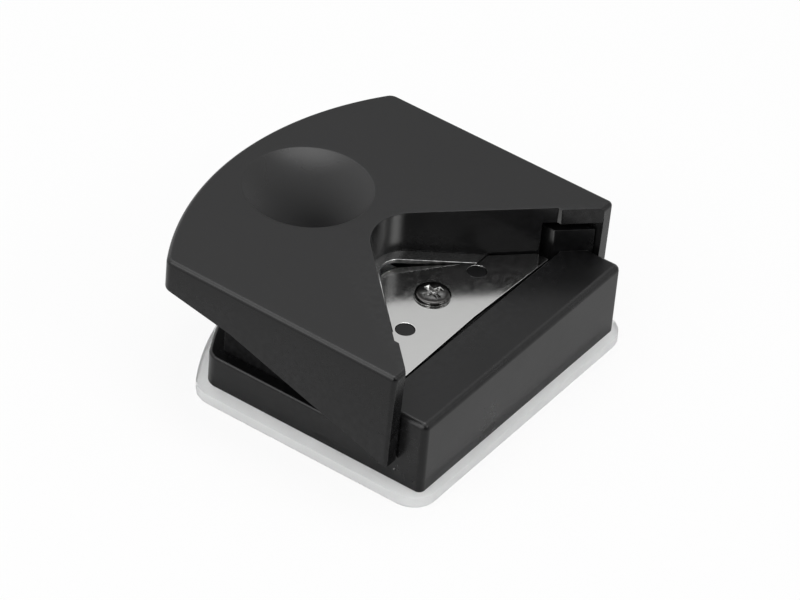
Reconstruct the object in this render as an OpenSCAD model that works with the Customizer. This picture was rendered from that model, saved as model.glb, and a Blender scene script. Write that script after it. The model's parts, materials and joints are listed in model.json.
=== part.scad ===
// Hand-pressed corner punch that rounds the corners of paper and card.
// A thumb lever carries a steel punch blade down past the tip of a fixed die plate.
// X runs across the punch, Y from the open front to the arched back, Z up from the table.

/* [Base] */
// Width of the base across its side faces
base_w = 58.5; // [52:0.5:66]
// Depth of the base from its front face to the top of its arched back
base_d = 53.4; // [50:0.1:58]
// Radius of the arched back of the base
base_arc_r = 55; // [45:1:90]
// Rounding of the upright front corners of the base
base_front_r = 1.2; // [0.8:0.1:4]
// Rounding of the upright back corners of the base
base_back_r = 3; // [1:0.1:4]
// Wall thickness of the base
base_wall = 2; // [1.4:0.1:2.4]
// Height of the outer ledge above the underside of the base
ledge_h = 6.3; // [5:0.1:7.5]
// Rounding of the ledge's outer edge
ledge_edge_r = 0.6; // [0.3:0.1:1]
// How far the upper wall steps in above the ledge
ledge_step = 2.5; // [1.5:0.1:3]
// Thickness of the deck that roofs the chip chamber
deck_t = 1.8; // [1.2:0.1:2.4]
// Height of the front bar above the underside of the base
bar_h = 14.25; // [13:0.05:16]
// Depth of the front bar
bar_d = 10.3; // [9:0.1:10.6]
// Rounding of the top edges of the front bar
bar_edge_r = 1.2; // [0.5:0.1:2]

/* [Hinge] */
// Distance of the hinge axis behind the front face
pivot_y = 11; // [10.5:0.1:12]
// Height of the hinge axis above the top of the front bar
pivot_rise = 0.6; // [0.2:0.1:1.2]
// Angle through which the lever is pressed
press_angle = 9.4; // [7:0.1:9.6]
// Diameter of each steel hinge pin
pin_d = 2.5; // [2:0.1:3]
// Length of each pin held in its post
pin_seat = 2.8; // [2:0.1:3]
// Length of each pin that enters the lever's ear
pin_reach = 1.5; // [1:0.1:1.8]
// Radial running clearance of a pin in its ear
pin_clear = 0.05; // [0.02:0.01:0.1]
// Width of each hinge post
post_w = 5.1; // [4.5:0.1:5.6]
// Height of the posts above the hinge axis
post_rise = 4; // [3:0.1:4.5]
// Distance from the hinge axis to the back of a post
post_back = 3.2; // [2.5:0.1:4]

/* [Die and punch] */
// Radius that the punch cuts on a corner
corner_r = 4; // [3:0.5:6]
// Distance from the front face to the sharp apex of the cutting line
vee_apex = 31.65; // [30:0.05:33]
// Clearance between the punch blade and the die plate
die_gap = 0.15; // [0.1:0.01:0.2]
// Thickness of the die plate
die_t = 1.5; // [1:0.1:2]
// Height of the die plate's top above the front bar
die_rise = 0.3; // [0.1:0.05:0.6]
// Gap between the die plate's wings and the notch walls
wing_gap = 0.45; // [0.4:0.05:0.7]
// Depth of the shallow bow in the die plate's front edge
die_bow = 0.5; // [0.2:0.1:1]
// Diameter of the two locating pegs
peg_d = 3.3; // [2.6:0.1:4]
// Distance of each peg from the middle of the die plate
peg_x = 10.6; // [9:0.1:12]
// Distance from the sharp apex of the cutting line to the pegs
peg_y = 13.85; // [13:0.05:15]
// Distance from the sharp apex of the cutting line to the die screw
screw_y = 11.95; // [11:0.05:13.5]
// Thickness of the punch blade
blade_t = 0.9; // [0.6:0.1:1.2]
// Depth of the pressed blade's top face below the hinge axis
blade_drop = 1.75; // [1.6:0.05:2]
// How far the blade's legs run on below the die plate's top at rest
leg_sink = 0.8; // [0.4:0.1:1.5]
// Width of each leg of the punch blade
blade_leg = 9.5; // [8.5:0.1:10]
// Distance from the sharp apex to the back edge of the blade
blade_tail = 8.2; // [7.5:0.1:8.6]
// Least gap between the back edge of the blade and the return spring
blade_spring_gap = 0.65; // [0.4:0.05:1]
// Distance from each leg screw to the outer end of its leg
leg_screw_edge = 6.2; // [5:0.1:7]
// Distance from each leg screw to the cutting line
leg_screw_in = 6.6; // [5.5:0.1:7]
// Distance from the rear screw to the back edge of the blade
rear_screw_edge = 3; // [2.5:0.1:3.5]

/* [Fasteners] */
// Head diameter of the die plate's pan screw
screw_head_d = 6.5; // [5:0.1:7]
// Head height of the die plate's pan screw
screw_head_h = 1.5; // [1:0.1:1.8]
// Shank diameter of the die plate's pan screw
screw_d = 2.9; // [2:0.1:3.2]
// Length of the die plate's pan screw under its head
screw_len = 7; // [6:0.5:9]
// Head diameter of the blade screws
small_head_d = 4; // [3.4:0.1:4.4]
// Head height of the blade screws
small_head_h = 1.2; // [0.8:0.1:1.3]
// Shank diameter of the blade screws
small_d = 2; // [1.6:0.1:2.3]
// Length of the blade screws under their heads
small_len = 4.6; // [4:0.1:5]

/* [Lever] */
// Thickness of the lever's ears and side walls
ear_t = 2.8; // [2.2:0.1:3.2]
// Gap between an ear and the side of the base
ear_gap = 0.3; // [0.25:0.05:0.6]
// Distance from the front face to the front of the ears
ear_front = 4.95; // [4:0.05:6]
// Slant of the ears' front edges from the vertical
ear_rake = 0.55; // [0:0.05:3]
// Depth of the ears' lowest corners below the hinge axis
ear_drop = 9.95; // [8:0.05:10.5]
// Height of the lever's top above the hinge axis
lever_rise = 9.05; // [8.4:0.05:10]
// Upward slope of the lever's top from the hinge to the back at rest
rest_tilt = 0.85; // [0:0.05:1.5]
// How far the lever reaches out behind the base
overhang = 8.9; // [4:0.1:10]
// Radius of the arched back of the lever
lever_arc_r = 58.4; // [50:0.1:100]
// Rounding of the upright back corners of the lever
lever_back_r = 2; // [1.2:0.1:4]
// Rounding of the lever's top edges
lever_edge_r = 0.9; // [0.4:0.1:1.2]
// Thickness of the lever's top
top_t = 2.2; // [1.6:0.1:2.6]
// Slope of the lower edge of the side walls in front of the bend
skirt_front_slope = 17.45; // [16:0.05:19]
// Slope of the lower edge of the side walls behind the bend
skirt_rear_slope = 9.95; // [9:0.05:12]
// Distance from the front face to the bend in the lower edge
skirt_bend_y = 38.5; // [34:0.5:42]
// Distance between the cutting line and the notch wall behind it
notch_setback = 2.45; // [2:0.05:3.2]
// Rounding of the inner end of the notch
notch_r = 8.5; // [6:0.1:9]
// Thickness of the notch walls
notch_wall = 2; // [1.4:0.1:2.4]
// Height of the lip over each hinge post
lip_h = 3.2; // [2.6:0.1:3.6]
// How far the lips stand out into the notch
arm_step = 0.6; // [0.3:0.1:1]
// Diameter of the thumb dish
dish_d = 23.2; // [18:0.1:24]
// Depth of the thumb dish
dish_depth = 1.8; // [1:0.1:2]
// Distance from the back of the lever to the middle of the thumb dish
dish_back = 15.3; // [12.5:0.1:16]

/* [Return spring] */
// Outer diameter of the spring
spring_d = 8; // [7:0.1:8.6]
// Diameter of the spring wire
wire_d = 0.9; // [0.7:0.05:1]
// Number of turns
spring_turns = 7; // [5:1:8]
// Distance from the back of the base to the middle of the spring
spring_back = 8.9; // [8.6:0.1:9.2]
// Depth of the spring cup below the deck
cup_depth = 5.6; // [4.5:0.1:6]

/* [Waste tray] */
// Height of the tray's rim
rim_h = 2.4; // [1.8:0.1:3.2]
// How far the rim stands out at the sides
rim_side = 2.35; // [1:0.05:2.8]
// How far the rim stands out at the front
rim_front = 1.55; // [0.5:0.05:2.5]
// How far the rim stands out at the back
rim_back = 2.5; // [1:0.1:3.5]
// Radius of the arched back of the rim
rim_arc_r = 54; // [45:1:90]
// Rounding of the rim's upright front corners
rim_front_r = 4.6; // [3:0.1:7]
// Rounding of the rim's upright back corners
rim_back_r = 5; // [2:0.1:6]
// Rounding of the rim's lower edge
rim_edge_r = 0.8; // [0.4:0.1:1.2]
// Thickness of the tray's floor
floor_t = 1; // [0.8:0.1:1.4]
// Height of the tray's inner wall above its rim
plug_h = 3; // [2:0.1:4]
// Thickness of the tray's inner wall
plug_t = 1; // [0.8:0.1:1.4]
// Gap between the tray and the base
tray_gap = 0.15; // [0.1:0.01:0.25]

/* [Hidden] */
$fn = 64;

// Round stretches that are hulled take fewer, wider facets
soft_fn = 32;
arc_fn = 240;
edge_steps = 6;
// The base takes fewer steps, as it has the most edges
base_steps = 4;
// The rounded tips of the notch, the die and the blade take this many steps
vee_steps = 24;
// Corners that are drawn in keep at least this radius
least_r = 0.2;
// Cuts run past a face by this much
cut = 1;
far = 200;

// Heights above the table
base_z = rim_h + tray_gap;
ledge_z = base_z + ledge_h;
bar_z = base_z + bar_h;
pivot_z = bar_z + pivot_rise;
die_z = bar_z + die_rise;
seat_z = die_z - die_t;
lever_z = pivot_z + lever_rise;
ceiling_z = lever_z - top_t;
// Pressed flat, the blade and its screw heads stay above the deck
head_gap = 0.7;
blade_top = pivot_z - blade_drop;
blade_low = blade_top - blade_t;
deck_z = blade_low - small_head_h - head_gap;
deck_low = deck_z - deck_t;

// Plan of the lever, the notch and the posts, with the lever's top level
ear_x = base_w / 2 + ear_gap;
lever_w = 2 * (ear_x + ear_t);
lever_back = base_d + overhang;
notch_apex = vee_apex + notch_setback * sqrt(2);
wall_apex = notch_apex + notch_wall * sqrt(2);
wall_nose_y = notch_apex - notch_r * (sqrt(2) - 1) + notch_wall;
post_x = base_w / 2 - post_w;
post_gap = 1.7;
pin_end_gap = 0.2;
arm_x = post_x - post_gap;
// Slanted faces of the posts line up with the notch walls
post_set = 0.25;
post_line = notch_apex + post_set;
// Lower edge of the lever's walls, from the ears over the bend to the back
ear_z = pivot_z - ear_drop;
ear_low_y = ear_front + (lever_z - ear_z) * tan(ear_rake);
bend_z = ear_z + (skirt_bend_y - ear_low_y) * tan(skirt_front_slope);
skirt_back_z = bend_z + (lever_back - skirt_bend_y) * tan(skirt_rear_slope);
// Middle of the thumb dish and of its sphere
dish_y = lever_back - dish_back;
dish_ball_r = (pow(dish_d / 2, 2) + pow(dish_depth, 2)) / (2 * dish_depth);
dish_ball_z = lever_z + dish_ball_r - dish_depth;
dish_wall = 2;
dish_rim = 1;
dish_fn = 96;

// Die plate and the cutting line
sink_y = pivot_y + (die_z - pivot_z + blade_drop / cos(press_angle)) / tan(press_angle);
leg_end = sink_y - leg_sink;
leg_gap = 0.15;
wing_back = leg_end - leg_gap;
wing_side = 0.85;
wing_x = arm_x - wing_side;
wing_apex = notch_apex - wing_gap * sqrt(2);
die_front_gap = 0.1;
die_front = bar_d + die_front_gap;
die_apex = vee_apex - die_gap * sqrt(2);
die_r = corner_r - die_gap;
peg_clear = 0.1;
peg_low = 0.1;
peg_pos_y = vee_apex - peg_y;
screw_pos_y = vee_apex - screw_y;
screw_hole_d = screw_d + 0.4;
screw_turn = 25;
seat_inset = 1;
boss_d = 7;
boss_depth = 1.5;
// Chips fall through the deck behind the tip of the die
chute_w = 18;
chute_lead = 0.3;
chute_run = 5.6;
chute_front = vee_apex - corner_r * sqrt(2) - chute_lead;
chute_back = vee_apex + chute_run;

// Punch blade and its three screws, laid out with the blade pressed flat
blade_side = 0.4;
blade_x = arm_x - blade_side;
blade_back = vee_apex + blade_tail;
blade_hole_d = small_d + 0.3;
small_boss_d = 4.6;
leg_screw_x = blade_x - leg_screw_edge;
leg_screw_y = vee_apex + leg_screw_in * sqrt(2) - leg_screw_x;
rear_screw_y = blade_back - rear_screw_edge;
blade_screw_sites = [[-leg_screw_x, leg_screw_y], [leg_screw_x, leg_screw_y], [0, rear_screw_y]];

// Cross recesses of the screws, and the shares of a head that its rim, its rounding and its recess take
recess_w = 1.1;
recess_depth = 0.9;
small_recess_w = 0.7;
small_recess_depth = 0.6;
rim_share = 0.35;
round_share = 0.6;
round_steps = 6;
recess_share = 0.62;

// Return spring between the cup in the deck and the seat under the lever
spring_pos_y = max(base_d - spring_back, blade_back + blade_spring_gap + spring_d / 2);
spring_r = (spring_d - wire_d) / 2;
cup_floor_z = deck_z - cup_depth;
cup_clear = 0.7;
cup_wall = 1.3;
cup_base_t = 1.4;
seat_drop = 2.5;
seat_rim = 1;
spring_seat_z = ceiling_z - seat_drop;
stub_d = spring_d - 2 * wire_d - 1;
stub_h = 1.8;
spring_slack = 0.1;
spring_low = cup_floor_z + spring_slack;
spring_high = spring_seat_z - spring_slack;
curl_rings = 8;
wire_sides = 6;

// Stop ribs under the lever meet the deck at the end of the stroke
rib_x = 16;
rib_t = 2;
rib_y = 40;
rib_len = 7;
rib_gap = 0.3;

// Chip tray
plug_inset = base_wall + tray_gap;

// The punch is centred on its bounding box, front of the rim to back of the lever
lever_run = lever_back - pivot_y;
skirt_back_rise = skirt_back_z - pivot_z;
lever_back_y = pivot_y + lever_run * cos(rest_tilt) - skirt_back_rise * sin(rest_tilt);
back_y = max(lever_back_y, base_d + rim_back);
front_y = -(back_y - rim_front) / 2;

plastic = [0.06, 0.06, 0.065];
clear_plastic = [0.84, 0.85, 0.86];
steel = [0.72, 0.72, 0.71];
bright_steel = [0.85, 0.85, 0.86];

// Places a child that is drawn from the front face of the base and the table
module placed() {
    translate([0, front_y, 0]) children();
}

// Turns a child about the hinge axis, its back upwards
module turned(angle) {
    translate([0, pivot_y, pivot_z])
        rotate([angle, 0, 0])
            translate([0, -pivot_y, -pivot_z]) children();
}

// Lifts a child drawn at the end of the stroke to the lever's rest position
module lifted() {
    turned(press_angle) children();
}

// Tips a child drawn with the lever's top level to the lever's rest position
module tipped() {
    turned(rest_tilt) children();
}

// Outline with straight sides, rounded front corners and an arched back, drawn in by inset
module shield(w, front, apex, arc_r, front_r, back_r, inset = 0, corner_fn = $fn) {
    x = w / 2 - inset;
    y = front + inset;
    r = arc_r - inset;
    fr = max(front_r - inset, least_r);
    br = max(back_r - inset, least_r);
    centre_y = apex - arc_r;
    corner_x = x - br;
    corner_y = centre_y + sqrt(pow(r - br, 2) - pow(corner_x, 2));
    touch_x = corner_x * r / (r - br);
    touch_y = centre_y + (corner_y - centre_y) * r / (r - br);
    polygon([
        [-x, y + fr], [-x + fr, y], [x - fr, y], [x, y + fr],
        [x, corner_y], [touch_x, touch_y], [-touch_x, touch_y], [-x, corner_y]
    ]);
    intersection() {
        translate([0, centre_y]) circle(r = r, $fn = arc_fn);
        translate([-touch_x, touch_y]) square([2 * touch_x, apex]);
    }
    for (side = [-1, 1]) {
        translate([side * (x - fr), y + fr]) circle(r = fr, $fn = corner_fn);
        translate([side * corner_x, corner_y]) circle(r = br, $fn = corner_fn);
    }
}

module base_plan(inset = 0, corner_fn = $fn) {
    shield(base_w, 0, base_d, base_arc_r, base_front_r, base_back_r, inset, corner_fn);
}

module lever_plan(inset = 0, corner_fn = $fn) {
    shield(lever_w, ear_front, lever_back, lever_arc_r, lever_edge_r, lever_back_r, inset, corner_fn);
}

module rim_plan(inset = 0, corner_fn = $fn) {
    shield(
        base_w + 2 * rim_side, -rim_front, base_d + rim_back,
        rim_arc_r, rim_front_r, rim_back_r, inset, corner_fn
    );
}

// Right-angled wedge that points to the back, with its tip rounded
module vee(apex, r) {
    centre_y = apex - r * sqrt(2);
    tip = [
        for (i = [0 : vee_steps])
            let (turn = 45 + 90 * i / vee_steps)
            [r * cos(turn), centre_y + r * sin(turn)]
    ];
    polygon(concat([[-far, apex - far], [far, apex - far]], tip));
}

// Right-angled wedge that points to the back, with its tip cut off flat
module blunt_vee(apex, nose_y) {
    polygon([[apex - nose_y, nose_y], [nose_y - apex, nose_y], [-far, apex - far], [far, apex - far]]);
}

// Strip between two upright planes, as wide as the given half width on both sides
module strip(half_w) {
    translate([-half_w, -far / 2]) square([2 * half_w, far]);
}

// Block that covers everything above a height
module above(z) {
    translate([-far / 2, -far / 2, z]) cube([far, far, far]);
}

// Front bar with rounded front corners and top edges
module front_bar() {
    r = base_front_r;
    hull()
        for (i = [0 : base_steps]) {
            inset = bar_edge_r * (1 - cos(90 * i / base_steps));
            x = base_w / 2 - inset;
            corner = max(r - inset, least_r);
            translate([0, 0, base_z])
                linear_extrude(bar_h - bar_edge_r + bar_edge_r * sin(90 * i / base_steps)) {
                    translate([-x, inset + corner]) square([2 * x, bar_d - inset - corner]);
                    for (side = [-1, 1])
                        translate([side * (x - corner), inset + corner])
                            circle(r = corner, $fn = soft_fn);
                }
        }
}

// Upright posts with slanted inner faces that carry the hinge pins
module hinge_posts() {
    back = pivot_y + post_back;
    side = base_w / 2;
    for (mirrored = [0, 1])
        mirror([mirrored, 0, 0])
            translate([0, 0, deck_low])
                linear_extrude(pivot_z + post_rise - deck_low)
                    polygon([
                        [post_x, post_line - post_x], [side, post_line - side],
                        [side, back], [post_x, back]
                    ]);
}

module pin_bores(from_x, to_x, d) {
    for (mirrored = [0, 1])
        mirror([mirrored, 0, 0])
            translate([from_x, pivot_y, pivot_z])
                rotate([0, 90, 0]) cylinder(d = d, h = to_x - from_x);
}

// Plan of the die plate behind its front edge: the rounded tip and the wings beside it
module die_plan(inset = 0) {
    vee(die_apex - inset * sqrt(2), die_r);
    intersection() {
        vee(wing_apex - inset * sqrt(2), die_r);
        strip(wing_x - inset);
        translate([-far / 2, 0]) square([far, wing_back - inset]);
    }
}

// Raised seat for the die plate, short of the chute
module die_seat() {
    translate([0, 0, deck_low])
        linear_extrude(seat_z - deck_low)
            intersection() {
                die_plan(seat_inset);
                strip(wing_x - seat_inset);
                translate([-far / 2, bar_d - cut]) square([far, chute_front - bar_d + cut]);
            }
}

// Lower body with a rounded ledge
module base_foot() {
    hull()
        for (i = [0 : base_steps]) {
            rise = ledge_edge_r * sin(90 * i / base_steps);
            translate([0, 0, base_z])
                linear_extrude(ledge_h - ledge_edge_r + rise)
                    base_plan(ledge_edge_r * (1 - cos(90 * i / base_steps)), soft_fn);
        }
}

module base_outside() {
    base_foot();
    translate([0, 0, base_z]) linear_extrude(deck_z - base_z) base_plan(ledge_step);
    front_bar();
    hinge_posts();
    die_seat();
}

// Chip chamber, open below, with a step under the ledge
module chip_chamber() {
    translate([0, 0, base_z - cut])
        linear_extrude(ledge_h - base_wall + cut) base_plan(base_wall);
    translate([0, 0, base_z])
        linear_extrude(deck_low - base_z) base_plan(ledge_step + base_wall);
}

module base_body() {
    color(plastic)
        placed()
            difference() {
                union() {
                    difference() {
                        base_outside();
                        chip_chamber();
                        translate([-chute_w / 2, chute_front, deck_low - cut])
                            cube([chute_w, chute_back - chute_front, deck_t + 2 * cut]);
                    }
                    translate([0, screw_pos_y, deck_low - boss_depth])
                        cylinder(d = boss_d, h = boss_depth + cut);
                    translate([0, spring_pos_y, cup_floor_z - cup_base_t])
                        cylinder(
                            r = spring_d / 2 + cup_clear + cup_wall,
                            h = deck_z - cup_floor_z + cup_base_t
                        );
                    for (side = [-1, 1])
                        translate([side * peg_x, peg_pos_y, seat_z - cut])
                            cylinder(d = peg_d, h = die_t + cut - peg_low);
                }
                translate([0, spring_pos_y, cup_floor_z])
                    cylinder(r = spring_d / 2 + cup_clear, h = cup_depth + cut);
                translate([0, screw_pos_y, die_z - screw_len])
                    cylinder(d = screw_d, h = screw_len);
                pin_bores(base_w / 2 - pin_seat, base_w / 2 + cut, pin_d);
            }
}

// Hardened plate whose rounded tip is the fixed cutting edge
module die_plate() {
    color(steel)
        placed()
            translate([0, 0, seat_z])
                linear_extrude(die_t)
                    difference() {
                        intersection() {
                            die_plan();
                            strip(wing_x);
                            polygon([
                                [-wing_x - cut, die_front], [-wing_x, die_front], [0, die_front + die_bow],
                                [wing_x, die_front], [wing_x + cut, die_front],
                                [wing_x + cut, far], [-wing_x - cut, far]
                            ]);
                        }
                        for (side = [-1, 1])
                            translate([side * peg_x, peg_pos_y]) circle(d = peg_d + 2 * peg_clear);
                        translate([0, screw_pos_y]) circle(d = screw_hole_d);
                    }
}

// Flat-topped pan head with a cross recess over a plain shank, head up from z = 0
module pan_screw(head_d, head_h, d, len, slot_w, slot_d) {
    rim = head_h * rim_share;
    crown = head_h - rim;
    reach = round_share * head_d / 2;
    flat_r = head_d / 2 - reach;
    slot_l = head_d * recess_share;
    rounding = [
        for (i = [0 : round_steps])
            let (turn = 90 * i / round_steps)
            [flat_r + reach * cos(turn), rim + crown * sin(turn)]
    ];
    difference() {
        rotate_extrude() polygon(concat([[0, 0], [head_d / 2, 0]], rounding, [[0, head_h]]));
        for (turn = [0, 90])
            rotate([0, 0, turn])
                translate([-slot_l / 2, -slot_w / 2, head_h - slot_d])
                    cube([slot_l, slot_w, slot_d + cut]);
    }
    translate([0, 0, -len]) cylinder(d = d, h = len + rim / 2);
}

module plate_screw() {
    color(bright_steel)
        placed()
            translate([0, screw_pos_y, die_z])
                rotate([0, 0, screw_turn])
                    pan_screw(screw_head_d, screw_head_h, screw_d, screw_len, recess_w, recess_depth);
}

// Steel dowel pressed into a post, its free end in the ear
module hinge_pin(mirrored) {
    color(bright_steel)
        placed()
            mirror([mirrored, 0, 0])
                translate([base_w / 2 - pin_seat, pivot_y, pivot_z])
                    rotate([0, 90, 0])
                        cylinder(d = pin_d, h = pin_seat + ear_gap + pin_reach);
}

module hinge_pin_left() {
    hinge_pin(1);
}

module hinge_pin_right() {
    hinge_pin(0);
}

// Shell of the lever before the notch, dish and bores are cut
module lever_shell() {
    difference() {
        hull()
            for (i = [0 : edge_steps]) {
                rise = lever_edge_r * sin(90 * i / edge_steps);
                low = pivot_z - ear_drop - cut;
                translate([0, 0, low])
                    linear_extrude(lever_z - lever_edge_r + rise - low)
                        lever_plan(lever_edge_r * (1 - cos(90 * i / edge_steps)), soft_fn);
            }
        linear_extrude(ceiling_z)
            shield(2 * ear_x, -far / 2, lever_back - ear_t, lever_arc_r - ear_t, cut, lever_back_r);
        skirt_cut();
    }
}

// Everything below the sloping lower edge of the walls and in front of the ears
module skirt_cut() {
    end_y = lever_back + cut;
    end_z = skirt_back_z + cut * tan(skirt_rear_slope);
    translate([-far / 2, 0, 0])
        rotate([90, 0, 90])
            linear_extrude(far)
                polygon([
                    [0, lever_z], [ear_front, lever_z], [ear_low_y, ear_z],
                    [skirt_bend_y, bend_z], [end_y, end_z], [end_y, 0], [0, 0]
                ]);
}

// Notch walls that stand on the blade, with a short lip over the hinge posts
module notch_walls() {
    intersection() {
        linear_extrude(ceiling_z + cut)
            intersection() {
                blunt_vee(wall_apex, wall_nose_y);
                strip(arm_x);
                translate([-far / 2, bar_d]) square([far, far]);
            }
        lifted() above(blade_top);
    }
    translate([0, 0, lever_z - lip_h])
        linear_extrude(lip_h - top_t + cut)
            intersection() {
                blunt_vee(wall_apex, wall_nose_y);
                difference() {
                    strip(ear_x);
                    strip(arm_x - cut);
                }
                translate([-far / 2, ear_front]) square([far, far]);
            }
}

// Open notch between the ears, narrower over the hinge posts
module notch_cut() {
    linear_extrude(lever_z + cut)
        intersection() {
            union() {
                intersection() {
                    vee(notch_apex, notch_r);
                    strip(post_x);
                }
                vee(notch_apex - arm_step * sqrt(2), notch_r);
            }
            strip(ear_x);
        }
}

// Screw bosses, spring seat and stop ribs below the lever's top
module lever_inside() {
    intersection() {
        union() {
            lifted() {
                for (site = blade_screw_sites)
                    translate([site[0], site[1], blade_top]) cylinder(d = small_boss_d, h = far);
                for (side = [-1, 1])
                    translate([side * rib_x - rib_t / 2, rib_y, deck_z + rib_gap])
                        cube([rib_t, rib_len, far]);
            }
            translate([0, spring_pos_y, spring_seat_z])
                cylinder(d = spring_d + 2 * seat_rim, h = far);
            translate([0, spring_pos_y, spring_seat_z - stub_h])
                cylinder(d = stub_d, h = far);
            tipped()
                intersection() {
                    translate([0, dish_y, dish_ball_z]) sphere(r = dish_ball_r + dish_wall, $fn = dish_fn);
                    translate([0, dish_y, 0]) cylinder(d = dish_d + 2 * dish_rim, h = far);
                }
        }
        tipped() linear_extrude(ceiling_z + cut) lever_plan(ear_t);
    }
}

module press_lever() {
    color(plastic)
        placed()
            difference() {
                union() {
                    tipped() lever_shell();
                    notch_walls();
                    lever_inside();
                }
                notch_cut();
                tipped() translate([0, dish_y, dish_ball_z]) sphere(r = dish_ball_r, $fn = dish_fn);
                pin_bores(base_w / 2, ear_x + pin_reach + pin_end_gap, pin_d + 2 * pin_clear);
                lifted()
                    for (site = blade_screw_sites)
                        translate([site[0], site[1], blade_top - cut])
                            cylinder(d = small_d, h = small_len - blade_t + cut);
            }
}

// Flat steel blade whose inner edge, rounded at the apex, passes the tip of the die
module punch_blade() {
    color(bright_steel)
        placed()
            lifted()
                translate([0, 0, blade_low])
                    linear_extrude(blade_t)
                        difference() {
                            intersection() {
                                vee(vee_apex + blade_leg * sqrt(2), corner_r);
                                translate([-blade_x, leg_end])
                                    square([2 * blade_x, blade_back - leg_end]);
                            }
                            vee(vee_apex, corner_r);
                            for (site = blade_screw_sites)
                                translate(site) circle(d = blade_hole_d);
                        }
}

// Small pan screw that clamps the blade to its boss, head down
module blade_screw(site) {
    color(steel)
        placed()
            lifted()
                translate([site[0], site[1], blade_low])
                    mirror([0, 0, 1])
                        pan_screw(
                            small_head_d, small_head_h, small_d, small_len,
                            small_recess_w, small_recess_depth
                        );
}

module blade_screw_left() {
    blade_screw(blade_screw_sites[0]);
}

module blade_screw_right() {
    blade_screw(blade_screw_sites[1]);
}

module blade_screw_rear() {
    blade_screw(blade_screw_sites[2]);
}

// Wire of the spring: a straight end, the turns, and a straight end
coil_low = spring_low + wire_d;
coil_high = spring_high - wire_d;
coil_count = spring_turns * curl_rings;
coil_points = [
    for (i = [0 : coil_count])
        let (turn = 360 * i / curl_rings)
        [spring_r * cos(turn), spring_r * sin(turn), coil_low + (coil_high - coil_low) * i / coil_count]
];
wire_points = concat([[spring_r, 0, spring_low]], coil_points, [[spring_r, 0, spring_high]]);

function unit(v) = v / norm(v);

function wire_ring(i) =
    let (
        last = len(wire_points) - 1,
        p = wire_points[i],
        before = i == 0 ? [0, 0, 1] : unit(p - wire_points[i - 1]),
        after = i == last ? [0, 0, 1] : unit(wire_points[i + 1] - p),
        ahead = unit(before + after),
        out = unit([p[0], p[1], 0]),
        side = unit(cross(ahead, out)),
        outward = cross(side, ahead),
        mitre = abs(before[2] - after[2]) > 0.5 ? 1 / max(before * ahead, 0.5) : 1
    )
    [for (k = [0 : wire_sides - 1])
        let (a = 360 * k / wire_sides)
        p + wire_d / 2 * (cos(a) * outward + sin(a) * mitre * side)];

// Least distance between points half a turn or more apart, less the wire itself
spring_gap = min([
    for (i = [0 : coil_count - curl_rings / 2])
        for (j = [i + curl_rings / 2 : coil_count])
            norm(coil_points[i] - coil_points[j])
]) - wire_d;
echo(least_gap_in_spring = spring_gap);

module return_spring() {
    rings = len(wire_points);
    points = [for (i = [0 : rings - 1]) each wire_ring(i)];
    sides = [
        for (i = [0 : rings - 2])
            for (k = [0 : wire_sides - 1])
                let (
                    a = i * wire_sides + k,
                    b = i * wire_sides + (k + 1) % wire_sides
                )
                each [[a, b, b + wire_sides], [a, b + wire_sides, a + wire_sides]]
    ];
    top = (rings - 1) * wire_sides;
    low_cap = [for (k = [1 : wire_sides - 2]) [0, k + 1, k]];
    high_cap = [for (k = [1 : wire_sides - 2]) [top, top + k, top + k + 1]];
    color(steel)
        placed()
            translate([0, spring_pos_y, 0])
                polyhedron(points = points, faces = concat(sides, low_cap, high_cap));
}

// Shallow tray that closes the chip chamber and stands on the table
module waste_tray() {
    color(clear_plastic)
        placed() {
            difference() {
                hull()
                    for (i = [0 : edge_steps]) {
                        low = rim_edge_r * (1 - sin(90 * i / edge_steps));
                        translate([0, 0, low])
                            linear_extrude(rim_h - low)
                                rim_plan(rim_edge_r * (1 - cos(90 * i / edge_steps)), soft_fn);
                    }
                translate([0, 0, floor_t])
                    linear_extrude(rim_h) base_plan(plug_inset + plug_t);
            }
            translate([0, 0, rim_h - cut])
                linear_extrude(plug_h + cut)
                    difference() {
                        base_plan(plug_inset);
                        base_plan(plug_inset + plug_t);
                    }
        }
}

base_body();
die_plate();
plate_screw();
hinge_pin_left();
hinge_pin_right();
return_spring();
press_lever();
punch_blade();
blade_screw_left();
blade_screw_right();
blade_screw_rear();
waste_tray();
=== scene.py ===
import bpy
import json
from math import cos, radians, sin
from mathutils import Euler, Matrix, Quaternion, Vector
from mathutils.geometry import intersect_point_line


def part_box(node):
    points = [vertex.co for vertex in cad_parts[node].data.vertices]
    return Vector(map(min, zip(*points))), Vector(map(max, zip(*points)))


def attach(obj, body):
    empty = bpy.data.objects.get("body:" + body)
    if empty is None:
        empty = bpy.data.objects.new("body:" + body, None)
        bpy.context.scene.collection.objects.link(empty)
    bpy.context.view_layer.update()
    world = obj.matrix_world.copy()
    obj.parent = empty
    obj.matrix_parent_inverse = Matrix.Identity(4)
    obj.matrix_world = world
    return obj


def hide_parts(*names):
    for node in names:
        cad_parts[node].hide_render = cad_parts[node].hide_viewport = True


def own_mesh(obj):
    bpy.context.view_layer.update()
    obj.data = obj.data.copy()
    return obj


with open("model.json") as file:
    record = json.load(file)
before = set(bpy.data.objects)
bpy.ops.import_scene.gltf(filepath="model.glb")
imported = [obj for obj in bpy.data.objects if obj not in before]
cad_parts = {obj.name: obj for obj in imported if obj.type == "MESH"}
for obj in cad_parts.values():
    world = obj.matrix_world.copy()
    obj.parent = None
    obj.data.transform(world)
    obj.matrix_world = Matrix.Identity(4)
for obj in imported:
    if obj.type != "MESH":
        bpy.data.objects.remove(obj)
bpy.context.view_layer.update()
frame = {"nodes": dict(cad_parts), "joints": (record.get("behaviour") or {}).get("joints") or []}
scene = bpy.context.scene
mm = 0.001
print("frame loaded:", len(frame["nodes"]), "nodes")


# handling helpers

def dropAll():
    bpy.ops.object.select_all(action="DESELECT")


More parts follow.
